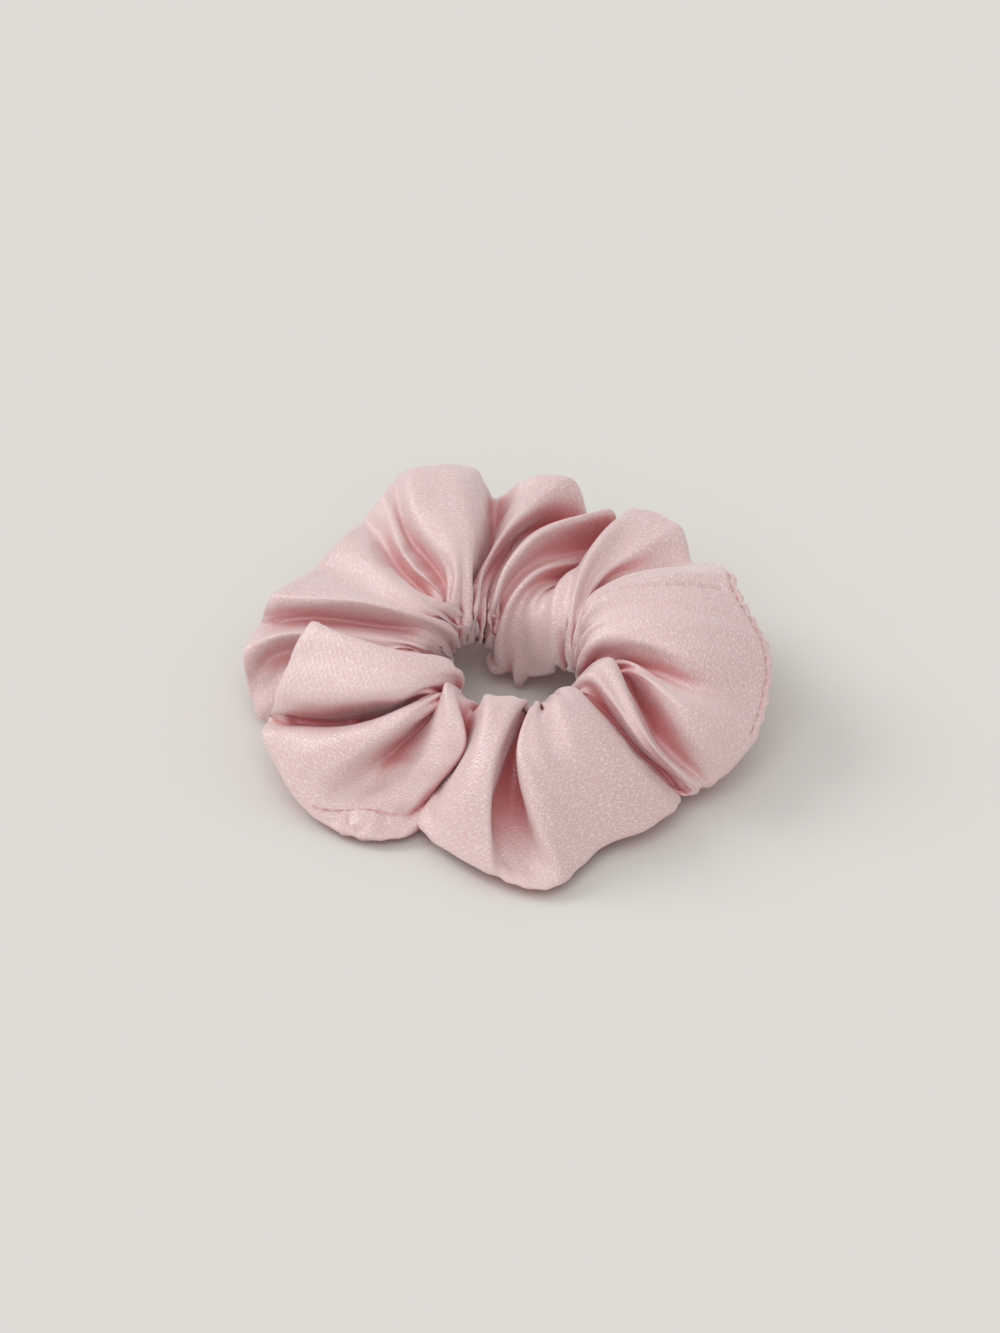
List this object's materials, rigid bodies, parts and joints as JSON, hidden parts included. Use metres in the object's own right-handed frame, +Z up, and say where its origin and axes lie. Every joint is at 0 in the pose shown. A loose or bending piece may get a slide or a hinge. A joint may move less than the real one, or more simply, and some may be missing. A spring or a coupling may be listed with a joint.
{
  "type": "scrunchie",
  "caption": "Satin hair scrunchie: a gathered cloth tube, sewn into a ring round a loop of flat elastic, which stretches open to hold a ponytail.",
  "frame": {"origin": "on the ring's axis, on the surface that the ring lies on", "axes": "+Z up along the ring's axis, +X out from the axis towards the cross seam and the closed turning gap"},
  "size_m": [0.11, 0.11, 0.033],
  "materials": {
    "satin": "dusty pink satin weave, soft sheen",
    "elastic": "off-white braided elastic",
    "thread": "pink polyester sewing thread",
    "elastic_thread": "off-white polyester sewing thread"
  },
  "bodies": {
    "ring": {"satin_cover": "satin", "elastic_band": "elastic", "long_seam_needle_thread": "thread", "long_seam_bobbin_thread": "thread"},
    "pulled_side": {"cross_seam_needle_thread": "thread", "cross_seam_bobbin_thread": "thread", "edge_needle_thread": "thread", "edge_bobbin_thread": "thread", "lap_needle_thread": "elastic_thread", "lap_bobbin_thread": "elastic_thread"}
  },
  "joints": [
    {"name": "stretch", "type": "slide", "parent": "ring", "child": "pulled_side", "axis": [1, 0, 0], "range_m": [0, 0.06], "stiffness_N_per_m": 100, "deforming": ["satin_cover", "elastic_band", "long_seam_needle_thread", "long_seam_bobbin_thread"]}
  ]
}
